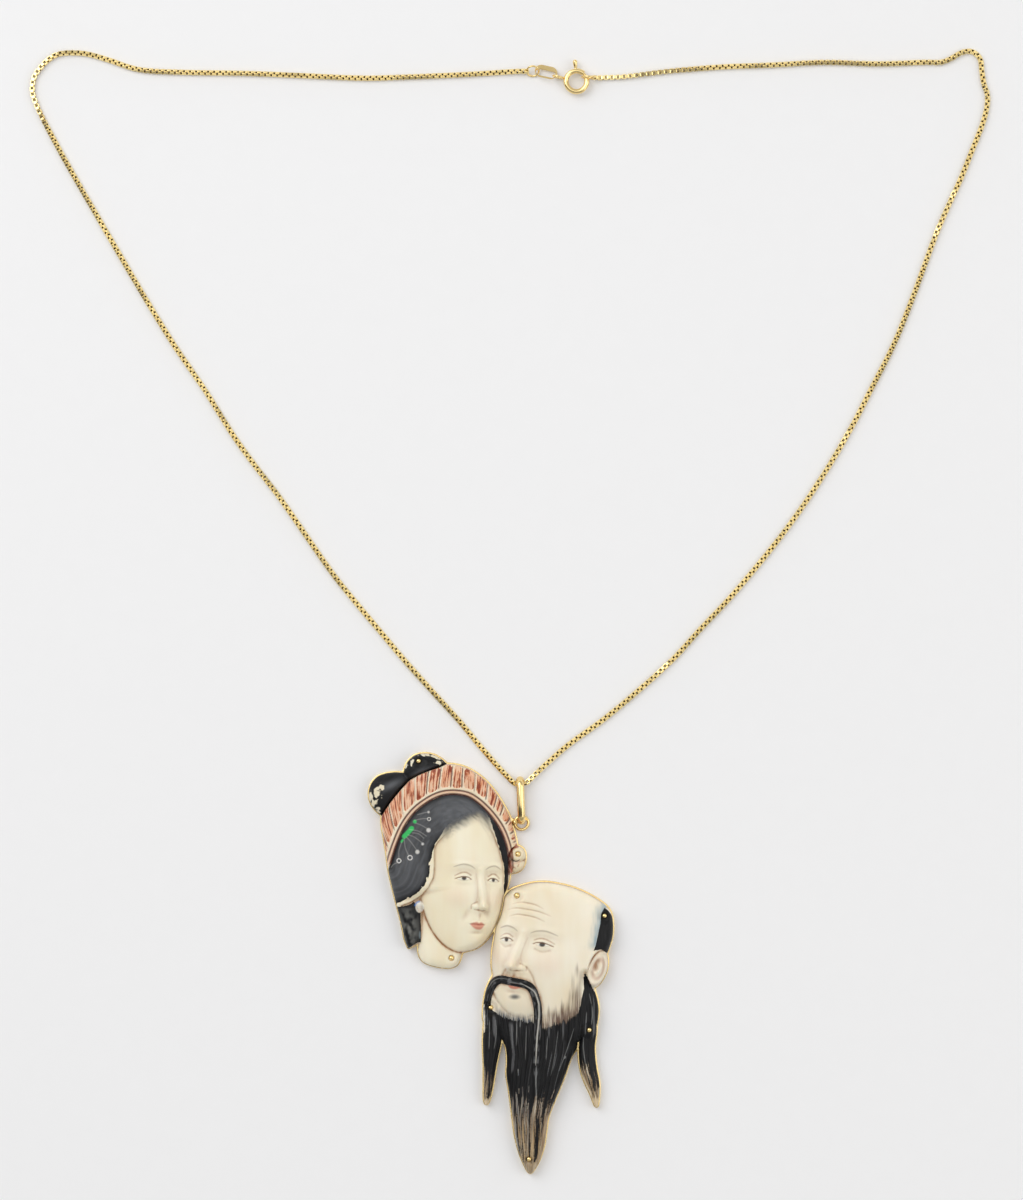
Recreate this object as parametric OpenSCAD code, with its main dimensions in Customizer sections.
/* [Back plate] */
// Thickness of the gold plate
plate_t = 0.6; // [0.5:0.05:0.8]
// Width of gold that shows round the ivory
plate_rim = 0.25; // [0.15:0.05:0.3]

/* [Carved heads] */
// Gap between the ivory and the plate
seat_gap = 0.05; // [0.03:0.01:0.1]
// Height of the ivory along its outline
edge_h = 1.1; // [0.8:0.1:1.4]
// Width of the rounding along the outline
round_w = 1.6; // [1:0.1:2.4]
// Height of the skull and face above the edge
skull_rise = 2.4; // [1.5:0.1:3]
// Height of the head band above the edge
band_rise = 1.9; // [1:0.1:2.5]
// Number of pleats in the head band
pleats = 22; // [16:1:28]
// Depth of a pleat's groove
pleat_depth = 0.35; // [0.1:0.05:0.5]
// Height of the beard above the edge
beard_rise = 1.5; // [1:0.1:2]
// Depth of the grooves in the beard
groove_depth = 0.15; // [0.05:0.05:0.3]

/* [Pins] */
// Diameter of a pin
pin_d = 0.72; // [0.6:0.02:0.76]
// Diameter of the holes for the pins
pin_hole_d = 0.84; // [0.8:0.02:0.9]
// Diameter of a pin's head
pin_head_d = 1; // [0.9:0.02:1.06]
// Height of a pin's head
pin_head_h = 0.38; // [0.3:0.02:0.45]

/* [Bail] */
// Length of the bail
bail_l = 9.2; // [9.1:0.05:9.3]
// Depth of the bail from front to back
bail_depth = 3.4; // [3.35:0.05:3.5]
// Width of the strip
bail_w = 1.45; // [1.2:0.05:1.5]
// Thickness of the strip
bail_t = 0.5; // [0.4:0.05:0.5]

/* [Loop on the plate] */
// Outer diameter of the loop
loop_d = 3.1; // [3:0.05:3.2]
// Diameter of the loop's wire
loop_wire = 0.55; // [0.45:0.05:0.55]

/* [Chain] */
// Width of the box chain
chain_w = 0.8; // [0.7:0.05:0.85]
// Diameter of the holes in the end links
end_hole_d = 0.6; // [0.58:0.01:0.62]

/* [Clasp] */
// Outer diameter of the spring ring
clasp_d = 4.94; // [4.8:0.02:5]
// Diameter of the ring's hollow wire
clasp_wire = 1; // [0.94:0.02:1.04]
// Diameter of the bore inside the ring
bore_d = 0.68; // [0.64:0.02:0.7]
// Diameter of the bolt
bolt_d = 0.58; // [0.54:0.02:0.6]
// Diameter of the jump rings' wire
ring_wire = 0.36; // [0.32:0.01:0.37]
// Length of the tag
tag_l = 4.3; // [4.2:0.05:4.4]
// Width of the tag
tag_w = 2.5; // [2.4:0.05:2.6]
// Thickness of the tag
tag_t = 0.3; // [0.2:0.05:0.3]

/* [Hidden] */
$fn = 48;
ivory_z = plate_t + seat_gap;
over = 0.5;

// The lady's face is an oval: its middle and its half width and half length
face_mid = [-8.3, -51];
face_half = [7.4, 13.6];
// Gap between the two heads where they lie side by side
heads_gap = 0.2;
function face_x(y) = face_mid[0] + face_half[0] * sqrt(1 - pow((y - face_mid[1]) / face_half[1], 2));

// Outline of the lady's head, counter-clockwise. Columns: x, y, and 1 at a sharp corner
lady_rows = concat(
    [[-0.5, -52.8], [0, -50.8], [0.1, -49.9, 1], [1.3, -49.7], [2.4, -49], [3, -47.6], [3, -46],
     [2.4, -45], [1.5, -44.6, 1], [1.2, -43.2], [0.7, -41.2], [0.1, -39.2], [-0.9, -37.2],
     [-2.4, -34.8], [-4.2, -32.6], [-6.2, -30.9], [-8.4, -29.7], [-10.4, -29.2], [-11.9, -29.1, 1],
     [-12.9, -28.2], [-14.3, -27.4], [-16, -27.1], [-17.8, -27.4], [-19.1, -28.4], [-19.8, -29.6],
     [-20.1, -30.8, 1], [-21.6, -30.7], [-23.4, -30.9], [-25, -31.5], [-26.2, -32.8], [-26.7, -34.6],
     [-26.4, -36.4], [-25.5, -37.8], [-24.3, -38.9, 1], [-24.3, -40.4], [-24, -42.6], [-23.5, -45.4],
     [-23.1, -48.4], [-22.8, -50.2], [-22.2, -52.8], [-21.6, -55.2], [-20.8, -58.2], [-20.3, -60.4],
     [-19.9, -62.4], [-19.2, -64.1, 1], [-17.3, -63.2, 1], [-17.3, -64.8], [-16.7, -66.3],
     [-15.2, -67.2], [-13, -67.7], [-11.2, -67.8], [-9.9, -67.2], [-9.3, -66], [-9, -64.9, 1]],
    [for (a = [-86 : 12 : -14]) [face_mid[0] + face_half[0] * cos(a), face_mid[1] + face_half[1] * sin(a)]]
);
lady_mid = [-11.3, -49.5];

// Outline of the elder's head without its side locks, counter-clockwise. Columns as above
elder_rows = concat(
    [[16, -71.6, 1], [16.9, -71], [17.8, -69.8], [18.5, -68.2], [18.7, -66.6], [18.5, -65.1, 1],
     [19.1, -63.4], [19.6, -61.4], [19.6, -59], [19.2, -57.2], [18.1, -55.8], [16.4, -54.6],
     [14.2, -53.4], [11.6, -52.4], [9, -51.8], [6.6, -51.5], [4.2, -51.7], [1.9, -52.3], [0.1, -53.1]],
    [for (y = [-54.4 : -1.4 : -60]) [face_x(y) + heads_gap, y]],
    [[-2.9, -62], [-3.3, -64.6], [-3.4, -67.2], [-3.2, -69.2], [-3.7, -70.2], [-4.4, -71.8],
     [-4.8, -73.6], [-5, -75.4], [-5, -77.6], [-4.2, -79.6, 1], [-1.4, -81.4, 1], [-0.7, -83],
     [-0.5, -85.5], [-0.6, -88], [-0.2, -90.6], [0.2, -93.4], [0.6, -96.6], [1.1, -100],
     [1.9, -103], [3, -105.6], [3.9, -106.8], [4.7, -106], [5.8, -104], [6.6, -101.4], [7, -98.6],
     [7.4, -96], [8.4, -93.4], [9.4, -91], [10.6, -88], [11.7, -84.9], [12.7, -83.2],
     [12.9, -81.9, 1], [15.8, -80.4, 1], [16.6, -78.4], [16.9, -76], [16.7, -74], [16.3, -72.6]]
);
elder_mid = [6, -72];

// Side locks of the elder's beard. Columns: x, y, half width, height
left_lock = [
    [-3.3, -76.5, 1.4, 1.6], [-3.3, -79, 1.6, 1.9], [-3.3, -81.6, 1.75, 1.9], [-3.5, -84, 1.5, 1.8],
    [-3.7, -86.4, 1.2, 1.7], [-3.9, -88.8, 1, 1.6], [-4.1, -91, 0.8, 1.4], [-4.3, -92.8, 0.55, 1.2],
    [-4.4, -93.7, 0.2, 1]
];
right_lock = [
    [15.1, -77.5, 1.4, 1.6], [15, -80, 1.5, 1.9], [14.7, -82.4, 1.5, 1.9], [14.7, -84.6, 1.55, 1.8],
    [15, -87, 1.55, 1.7], [15.6, -89.4, 1.4, 1.6], [16.1, -91.4, 0.95, 1.4], [16.4, -93.2, 0.5, 1.2],
    [16.5, -94.2, 0.2, 1]
];

// Height of the locks' foot above the foot of the heads
lock_lift = 0.02;

// How far the holes of the end links lie inside the jump rings' middle line
hole_shift = 0.05;

// Places of the pins in the order of their nodes. Columns: x, y, and 1 on the elder's head
pins = [
    [-17.2, -28.5, 0], [1.6, -46.1, 0], [-11, -65.8, 0],
    [1.4, -53.9, 1], [18, -57.8, 1], [-3.6, -75.3, 1], [15.1, -79.4, 1], [3.7, -103.9, 1]
];
// Depth of the flat seat under a pin's head, its radius and the gap under the head
seat_depth = 0.2;
seat_r = 0.58;
head_gap = 0.02;

// The lady's cap of hair inside the band: its middle and its half width and half length
cap_mid = [-11.4, -50.5];
cap_half = [11.6, 15.8];
band_end_y = -49;

// Lumps of the lady's head. Columns: x, y, half width, half length, turn, foot and rise of a dome
lady_lumps = [
    [-10.6, -50, 12.6, 16.6, 0, 0.5, skull_rise - 0.2],
    [-8.3, -51, 7.6, 13.8, -3, 0.4, skull_rise + 0.2],
    [-4.7, -54.6, 1.1, 3.4, -3, skull_rise + 0.2, 1.2],
    [-22.9, -35, 4.6, 3.3, 52, 0.3, 1.6],
    [-15.9, -29.9, 4.4, 2.8, 8, 0.3, 1.6],
    [1.3, -47.2, 1.9, 2.6, 0, 0.3, 0.9],
    [-13.2, -62.5, 4.4, 6.4, 0, 0.2, 0.7],
    [-18.8, -58.4, 2, 6.4, 10, 0.2, 0.9],
    [-17, -56.4, 0.9, 1.7, 10, 0.9, 0.5]
];

// Lumps of the elder's head. Columns as above
elder_lumps = [
    [8.2, -64, 12.2, 13.2, 0, 0.5, skull_rise],
    [3.4, -63, 7.4, 13.6, -6, 0.4, skull_rise + 0.2],
    [0.7, -66.2, 1.5, 3.6, -8, skull_rise + 0.1, 1.3],
    [1, -75, 4.4, 4.2, 0, 1.4, 1.3],
    [17, -68, 1.9, 3.6, -16, 1, 0.9],
    [6.2, -86, 8.6, 22, 4, 0.3, beard_rise],
    [12, -76.5, 5.4, 7, 0, 0.3, beard_rise]
];

// Moustache of the elder. Columns: x, y
moustache = [
    [-4.1, -78], [-4.3, -75], [-4, -72.6], [-3.2, -70.6], [-1.4, -69.8], [1, -70.1], [3.2, -70.6],
    [4.6, -72.2], [5.3, -75], [5.2, -80], [5, -86], [5, -92]
];
moustache_half_w = 0.7;
moustache_rise = 0.7;

// Middle of the loop and the bail, and the height of the bail's axis
loop_mid = [2.3, -40.3];
loop_z = 0.91;
bail_x = 2.15;
bail_turn = 2.2;
bail_top_y = -31.4;
bail_z = bail_depth / 2 + 0.02;
tab_mid = [0.1, -40.2];
tab_r = 0.95;
bead_mid = [1.03, -40.2];
bead_r = 0.5;

// Route of the chain. Columns: x, y, and height where it doesn't lie on the surface
chain_z = chain_w / 2 + 0.02;
meet = [2.05, -32.74, 1.14];
meet_gap = 0.02;
left_route = [
    [meet[0] - meet_gap, meet[1], meet[2]], [0.9, meet[1], meet[2]], [-0.4, -31.5, 1], [-2.4, -29.4, 0.78],
    [-5.8, -25.5, 0.52], [-9.7, -20.8], [-14.9, -15.1], [-20, -9.4], [-24.8, -3.7], [-29.6, 2],
    [-34.1, 7.7], [-40, 16.2], [-44, 21.9], [-48.4, 27.6], [-52.5, 33.3], [-57.9, 41.9],
    [-63.7, 50.4], [-69, 59], [-75.7, 70.4], [-79, 76.1], [-82.3, 81.8], [-85.5, 87.5],
    [-88.5, 93.2], [-90.1, 96.8], [-90.6, 99], [-90.2, 101.3], [-89.1, 103], [-87.4, 104.7],
    [-85.4, 105.7], [-82.6, 105.9], [-79.8, 105.6], [-76, 104.5], [-70.2, 102.7], [-62, 102.2],
    [-50, 102], [-40, 101.6], [-28, 101.1], [-20, 101.3], [-10, 101.7], [-3, 102.1, 0.5],
    [0.4, 102.3, 0.7], [2.4, 102.35, 0.93], [3.68, 102.35, 0.96]
];
right_route = [
    [meet[0] + meet_gap, meet[1], meet[2]], [3.1, meet[1], meet[2]], [4.5, -31.5, 1], [6.6, -29.5, 0.78],
    [11.2, -25.5, 0.52], [17.7, -20.8], [24.6, -15.1], [30.9, -9.4], [36.1, -3.7], [41.5, 2],
    [46.4, 7.7], [51, 13.4], [55.2, 19.1], [59, 24.8], [62.5, 30.5], [65.7, 36.2], [68.6, 41.9],
    [72.9, 50.4], [76.4, 59], [80.6, 70.4], [83, 76.1], [85.6, 81.8], [87.9, 87.5], [89.9, 92.6],
    [90.7, 96], [90.7, 98.1], [90.1, 99.9], [89.7, 102.3], [89.4, 104.6], [88.3, 105.9],
    [87, 106.2], [85.5, 105.8], [83.8, 104.8], [81.8, 104.1], [78.6, 104.1], [70, 103.8],
    [60, 104.1], [50, 103.6], [40, 103.2], [30, 102.4], [22, 101.4], [18, 101.2, 0.44],
    [16.9, 101.15, 0.5], [15.76, 101.15, 1.07]
];

// The clasp lies flat: middle and height of its ring, and the angles of its gap, bore, slot and trigger
clasp_mid = [12.7, 100.4];
clasp_z = 1.3;
ring_r = (clasp_d - clasp_wire) / 2;
gap_from = 18;
gap_to = 48;
bore_to = 146;
socket_from = 7;
bolt_from = 10;
bolt_to = 102;
trigger_a = 94;
trigger_half = 6;
bolt_travel = 38;
slot_half_h = 0.3;
neck_r = 0.22;
knob_r = [0.3, 0.44];
knob_from = 0.62;
knob_l = 1.1;

// Eye of the clasp: angle from the ring's middle, radius, wire and lean from upright
eye_a = 167;
eye_r = 1;
eye_wire = 0.4;
eye_lean = 0;
eye_bite = 0.14;

// Jump rings and tag: middle, radius, and turn of each
left_ring_mid = [4.42, 102.35, 0.96];
left_ring_r = 1.15;
left_ring_lean = 42;
right_ring_mid = [15.01, 101.15, 1.52];
right_ring_r = 1.3;
tag_mid = [6.95, 102.2, 0.92];
tag_turn = -12;
tag_lean = -16;
slot_w = 1.3;
slot_low = 0.3;
end_bar = 0.25;

function xy(p) = [p[0], p[1]];

// Slope of the curve at a row: none at a sharp corner
function slope(rows, i) =
    let (n = len(rows))
    rows[i % n][2] == 1 ? [0, 0] : (xy(rows[(i + 1) % n]) - xy(rows[(i + n - 1) % n])) / 2;

// Closed curve through all rows, with the same number of steps from row to row
function smooth(rows, steps) =
    let (n = len(rows))
    [for (i = [0 : n - 1]) for (k = [0 : steps - 1])
        let (t = k / steps, p = xy(rows[i]), q = xy(rows[(i + 1) % n]))
        p * (2 * t * t * t - 3 * t * t + 1) + slope(rows, i) * (t * t * t - 2 * t * t + t)
            + q * (3 * t * t - 2 * t * t * t) + slope(rows, i + 1) * (t * t * t - t * t)];

// The rows moved outwards by a rim
function grown(rows, rim) =
    let (n = len(rows))
    [for (i = [0 : n - 1])
        let (along = xy(rows[(i + 1) % n]) - xy(rows[(i + n - 1) % n]), out = [along[1], -along[0]] / norm(along))
        [rows[i][0] + rim * out[0], rows[i][1] + rim * out[1], rows[i][2]]];

// Outline of a lock with a rim, counter-clockwise
function lock_outline(lock, rim) =
    let (last = len(lock) - 1)
    concat(
        [for (row = lock) [row[0] - row[2] - rim, row[1] - (row == lock[last] ? rim : 0)]],
        [for (i = [last : -1 : 0]) [lock[i][0] + lock[i][2] + rim, lock[i][1] - (i == last ? rim : 0)]]
    );

// Square of the distance from the middle of a turned oval, 1 on its edge
function oval(x, y, mid, half, turn) =
    let (dx = x - mid[0], dy = y - mid[1], u = dx * cos(turn) + dy * sin(turn), v = dy * cos(turn) - dx * sin(turn))
    u * u / (half[0] * half[0]) + v * v / (half[1] * half[1]);

// Height of the highest lump over a place
function lump_height(x, y, lumps) =
    max([for (m = lumps)
        let (q = oval(x, y, [m[0], m[1]], [m[2], m[3]], m[4]))
        q < 1 ? m[5] + m[6] * sqrt(1 - q) : 0]);

// Distance from a place to a line of points
function to_segment(p, a, b) =
    let (ab = b - a, t = max(0, min(1, ((p - a) * ab) / (ab * ab))))
    norm(p - a - t * ab);
function closed(line) = concat(line, [line[0]]);
function to_line(p, line) = min([for (i = [0 : len(line) - 2]) to_segment(p, line[i], line[i + 1])]);

// Height of the pleated band: highest at its inner edge and lower towards the outline
function band_height(x, y) =
    let (e = sqrt(oval(x, y, cap_mid, cap_half, 0)), a = atan2(y - cap_mid[1], x - cap_mid[0]))
    e < 1 || y < band_end_y || e > 1.45 ? 0
        : band_rise * (1 - 1.1 * pow(e - 1.05, 2) / 0.16) - pleat_depth * pow(sin(a * pleats), 2);

function lady_form(x, y) = max(0, lump_height(x, y, lady_lumps), band_height(x, y));

// Height of the elder's head, with the grooves of the beard and the moustache on it
function elder_form(x, y) =
    let (
        groove = y < -77 ? groove_depth * sin(x * 250) : 0,
        strand = to_line([x, y], moustache)
    )
    max(0, lump_height(x, y, elder_lumps) - groove)
        + (strand < moustache_half_w ? moustache_rise * (1 - pow(strand / moustache_half_w, 2)) : 0);

function form(elder, x, y) = elder ? elder_form(x, y) : lady_form(x, y);

// Share of the full height at a distance from the outline
function rounded(d) = d >= round_w ? 1 : sqrt(1 - pow(1 - d / round_w, 2));

// Height of a head's surface above the surface that the jewel lies on
function head_z(elder, x, y, d) = ivory_z + edge_h + form(elder, x, y) * rounded(d);

// Height of the flat seat of a pin, a little under the surface round it
function seat_z(k) =
    let (p = xy(pins[k]), elder = pins[k][2] == 1, rows = elder ? elder_rows : lady_rows)
    head_z(elder, p[0], p[1], to_line(p, closed(smooth(rows, 3)))) - seat_depth;

// Solid with a flat foot, an upright wall along its outline and a carved surface
module relief(outline, mid, elder, rings) {
    n = len(outline);
    shares = [for (k = [1 : rings]) sin(90 * k / rings)];
    edge = closed(outline);
    foot = [for (p = outline) [p[0], p[1], ivory_z]];
    surface = [for (s = shares) for (p = outline)
        let (q = mid + s * (p - mid))
        [q[0], q[1], head_z(elder, q[0], q[1], s == 1 ? 0 : to_line(q, edge))]];
    top = [[mid[0], mid[1], head_z(elder, mid[0], mid[1], round_w)]];
    rim = n * rings;
    walls = [for (i = [0 : n - 1]) let (j = (i + 1) % n) [i, rim + i, rim + j, j]];
    carved = [for (k = [1 : rings - 1]) for (i = [0 : n - 1]) for (half = [0, 1])
        let (j = (i + 1) % n, a = k * n, b = a + n)
        half == 0 ? [a + i, a + j, b + j] : [a + i, b + j, b + i]];
    crown = [for (i = [0 : n - 1]) [n + rim, n + (i + 1) % n, n + i]];
    polyhedron(concat(foot, surface, top), concat([[for (i = [0 : n - 1]) i]], walls, carved, crown), convexity = 8);
}

// Tapering lock with a flat foot and a rounded back
module lock(rows) {
    section = [[-1, 0], [-1, 0.5], [-0.8, 0.8], [-0.35, 1], [0.35, 1], [0.8, 0.8], [1, 0.5], [1, 0]];
    n = len(section);
    last = len(rows) - 1;
    points = [for (row = rows) for (s = section)
        [row[0] + s[0] * row[2], row[1], ivory_z + lock_lift + s[1] * row[3]]];
    sides = [for (r = [0 : last - 1]) for (i = [0 : n - 1]) for (half = [0, 1])
        let (j = (i + 1) % n, a = r * n, b = a + n)
        half == 0 ? [a + i, a + j, b + j] : [a + i, b + j, b + i]];
    ends = [[for (i = [n - 1 : -1 : 0]) i], [for (i = [0 : n - 1]) last * n + i]];
    polyhedron(points, concat(sides, ends), convexity = 4);
}

// Holes and seats for the pins of one head
module pin_cuts(elder) {
    for (k = [0 : len(pins) - 1]) {
        if (pins[k][2] == elder) {
            translate([pins[k][0], pins[k][1], 0]) {
                cylinder(d = pin_hole_d, h = 9);
                translate([0, 0, seat_z(k)]) cylinder(r = seat_r, h = 9);
            }
        }
    }
}

module lady_head() {
    color("ivory")
    difference() {
        relief(smooth(lady_rows, 3), lady_mid, false, 12);
        pin_cuts(0);
    }
}

module elder_head() {
    color("ivory")
    difference() {
        union() {
            relief(smooth(elder_rows, 3), elder_mid, true, 12);
            lock(left_lock);
            lock(right_lock);
        }
        pin_cuts(1);
    }
}

// One pin: a shank that ends level with the plate's back, and a domed head
module pin(k) {
    ball_r = (pow(pin_head_d / 2, 2) + pow(pin_head_h, 2)) / (2 * pin_head_h);
    color("gold")
    translate([pins[k][0], pins[k][1], 0]) {
        cylinder(d = pin_d, h = seat_z(k) + 2 * head_gap);
        translate([0, 0, seat_z(k) + head_gap])
        intersection() {
            translate([0, 0, pin_head_h - ball_r]) sphere(r = ball_r);
            cylinder(d = pin_head_d + 1, h = 1);
        }
    }
}

module back_plate() {
    color("goldenrod")
    difference() {
        union() {
            linear_extrude(plate_t) {
                polygon(smooth(grown(lady_rows, plate_rim), 3));
                polygon(smooth(grown(elder_rows, plate_rim), 3));
                polygon(lock_outline(left_lock, plate_rim));
                polygon(lock_outline(right_lock, plate_rim));
            }
            translate([tab_mid[0], tab_mid[1], 0]) cylinder(r = tab_r, h = plate_t);
            translate([bead_mid[0], bead_mid[1], 0]) cylinder(r = bead_r, h = loop_z);
            translate([bead_mid[0], bead_mid[1], loop_z]) sphere(r = bead_r);
            translate([loop_mid[0], loop_mid[1], loop_z])
            rotate_extrude() translate([(loop_d - loop_wire) / 2, 0]) circle(d = loop_wire);
        }
        for (p = pins) translate([p[0], p[1], -over]) cylinder(d = pin_hole_d, h = plate_t + 2 * over);
    }
}

// Half-round section of the bail, with its flat side inwards
module bail_section() {
    curve_r = (pow(bail_w / 2, 2) + pow(bail_t, 2)) / (2 * bail_t);
    intersection() {
        translate([bail_depth / 2 - curve_r, 0]) circle(r = curve_r);
        translate([bail_depth / 2 - bail_t, -bail_w]) square([bail_w, 2 * bail_w]);
    }
}

module bail() {
    straight = bail_l - bail_depth;
    color("gold")
    translate([bail_x, bail_top_y - bail_l / 2, bail_z]) rotate([0, 0, bail_turn])
    for (end = [0, 1]) {
        mirror([0, end, 0]) translate([0, straight / 2, 0]) rotate([0, 90, 0])
            rotate_extrude(angle = 180) bail_section();
        mirror([0, 0, end]) translate([0, straight / 2, 0]) rotate([90, 0, 0])
            linear_extrude(straight) rotate(90) bail_section();
    }
}

// Tube along a route, with eight sides
module tube(route) {
    sides = 8;
    last = len(route) - 1;
    places = [for (p = route) [p[0], p[1], len(p) > 2 ? p[2] : chain_z]];
    points = [for (i = [0 : last]) for (k = [0 : sides - 1])
        let (
            ahead = places[min(i + 1, last)] - places[max(i - 1, 0)],
            along = ahead / norm(ahead),
            across = cross([0, 0, 1], along) / norm(cross([0, 0, 1], along)),
            up = cross(along, across),
            a = 360 * (k + 0.5) / sides
        )
        places[i] + chain_w / 2 / cos(180 / sides) * (across * cos(a) + up * sin(a))];
    walls = [for (i = [0 : last - 1]) for (k = [0 : sides - 1]) for (half = [0, 1])
        let (m = (k + 1) % sides, a = i * sides, b = a + sides)
        half == 0 ? [a + k, a + m, b + m] : [a + k, b + m, b + k]];
    ends = [[for (k = [sides - 1 : -1 : 0]) k], [for (k = [0 : sides - 1]) last * sides + k]];
    polyhedron(points, concat(walls, ends), convexity = 10);
}

module chain_left() {
    color("gold")
    difference() {
        tube(left_route);
        translate([left_ring_mid[0] - left_ring_r + hole_shift, left_ring_mid[1], left_ring_mid[2]])
            rotate([left_ring_lean - 90, 0, 0]) cylinder(d = end_hole_d, h = 4, center = true);
    }
}

module chain_right() {
    hook_a = -30;
    color("gold")
    difference() {
        tube(right_route);
        translate(right_ring_mid) rotate([0, -hook_a, 0]) translate([right_ring_r - hole_shift, 0, 0])
            cylinder(d = end_hole_d, h = 4, center = true);
    }
}

// Round wire ring in the XY plane
module wire_ring(r, wire) {
    rotate_extrude() translate([r, 0]) circle(d = wire);
}

module ring_left() {
    color("gold") translate(left_ring_mid) rotate([left_ring_lean, 0, 0]) wire_ring(left_ring_r, ring_wire);
}

module ring_right() {
    color("gold") translate(right_ring_mid) rotate([90, 0, 0]) wire_ring(right_ring_r, ring_wire);
}

// Bar with two round ends
module stadium(length, width) {
    for (side = [-1, 1]) translate([side * (length - width) / 2, 0]) circle(d = width);
    square([length - width, width], center = true);
}

module tag() {
    color("gold")
    translate(tag_mid) rotate([0, 0, tag_turn]) rotate([tag_lean, 0, 0])
    translate([0, 0, -tag_t / 2])
    linear_extrude(tag_t)
    difference() {
        stadium(tag_l, tag_w);
        translate([0, -slot_low]) stadium(tag_l - 2 * end_bar, slot_w);
    }
}

// Bent round rod of the clasp between two angles
module bent_rod(d, from, to) {
    rotate(from) rotate_extrude(angle = to - from) translate([ring_r, 0]) circle(d = d);
}

module clasp_ring() {
    slot_from = trigger_a - trigger_half - 2;
    slot_to = trigger_a + trigger_half + bolt_travel + 2;
    eye_reach = clasp_d / 2 + eye_r + eye_wire / 2 - eye_bite;
    color("gold")
    translate([clasp_mid[0], clasp_mid[1], clasp_z]) {
        difference() {
            bent_rod(clasp_wire, gap_to, gap_from + 360);
            bent_rod(bore_d, gap_to - 2, bore_to);
            bent_rod(bore_d, socket_from, gap_from + 2);
            rotate(slot_from) rotate_extrude(angle = slot_to - slot_from)
                translate([ring_r, -slot_half_h]) square([clasp_wire, 2 * slot_half_h]);
        }
        rotate(eye_a) translate([eye_reach, 0, 0]) rotate([90 - eye_lean, 0, 0]) wire_ring(eye_r, eye_wire);
    }
}

module clasp_bolt() {
    color("gold")
    translate([clasp_mid[0], clasp_mid[1], clasp_z]) {
        bent_rod(bolt_d, bolt_from, bolt_to);
        rotate(trigger_a) translate([ring_r, 0, 0]) rotate([0, 90, 0]) {
            cylinder(r = neck_r, h = knob_from + 0.1);
            translate([0, 0, knob_from]) cylinder(r1 = knob_r[0], r2 = knob_r[1], h = knob_l);
            translate([0, 0, knob_from + knob_l]) sphere(r = knob_r[1]);
        }
    }
}

back_plate();
lady_head();
elder_head();
pin(0);  // pin_bun
pin(1);  // pin_flower
pin(2);  // pin_neck
pin(3);  // pin_crown
pin(4);  // pin_temple
pin(5);  // pin_left_lock
pin(6);  // pin_right_lock
pin(7);  // pin_beard
bail();
chain_left();
chain_right();
ring_left();
ring_right();
tag();
clasp_ring();
clasp_bolt();
